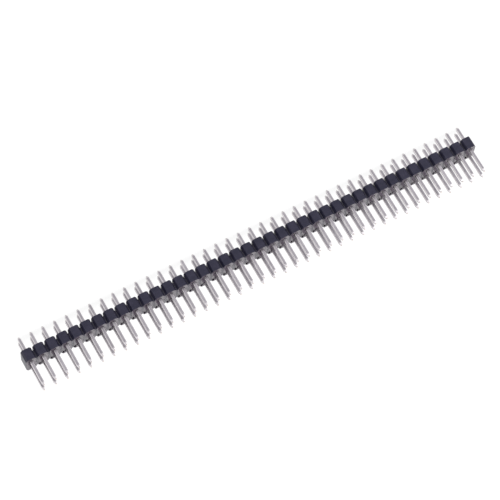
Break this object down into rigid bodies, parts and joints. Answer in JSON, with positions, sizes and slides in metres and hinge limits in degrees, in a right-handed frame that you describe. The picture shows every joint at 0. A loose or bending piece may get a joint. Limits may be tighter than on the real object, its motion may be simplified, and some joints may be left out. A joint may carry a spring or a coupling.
{
  "type": "pin header strip",
  "caption": "Straight pin header strip: square pins in parallel rows, pressed through a moulded insulator whose blocks can be broken apart.",
  "frame": {"origin": "on the board seating plane, at the centre of position 1, midway between its two pins", "axes": "+X along the strip from position 1 to the last position, +Y across the rows, +Z along the pins towards their mating ends"},
  "size_m": [0.1013, 0.005, 0.0112],
  "materials": {
    "insulator": "satin",
    "pin": "satin"
  },
  "bodies": {
    "root": {"insulator_body": "insulator", "pin_pair_01": "pin", "pin_pair_02": "pin", "pin_pair_03": "pin", "pin_pair_04": "pin", "pin_pair_05": "pin", "pin_pair_06": "pin", "pin_pair_07": "pin", "pin_pair_08": "pin", "pin_pair_09": "pin", "pin_pair_10": "pin", "pin_pair_11": "pin", "pin_pair_12": "pin", "pin_pair_13": "pin", "pin_pair_14": "pin", "pin_pair_15": "pin", "pin_pair_16": "pin", "pin_pair_17": "pin", "pin_pair_18": "pin", "pin_pair_19": "pin", "pin_pair_20": "pin", "pin_pair_21": "pin", "pin_pair_22": "pin", "pin_pair_23": "pin", "pin_pair_24": "pin", "pin_pair_25": "pin", "pin_pair_26": "pin", "pin_pair_27": "pin", "pin_pair_28": "pin", "pin_pair_29": "pin", "pin_pair_30": "pin", "pin_pair_31": "pin", "pin_pair_32": "pin", "pin_pair_33": "pin", "pin_pair_34": "pin", "pin_pair_35": "pin", "pin_pair_36": "pin", "pin_pair_37": "pin", "pin_pair_38": "pin", "pin_pair_39": "pin", "pin_pair_40": "pin"}
  },
  "joints": []
}
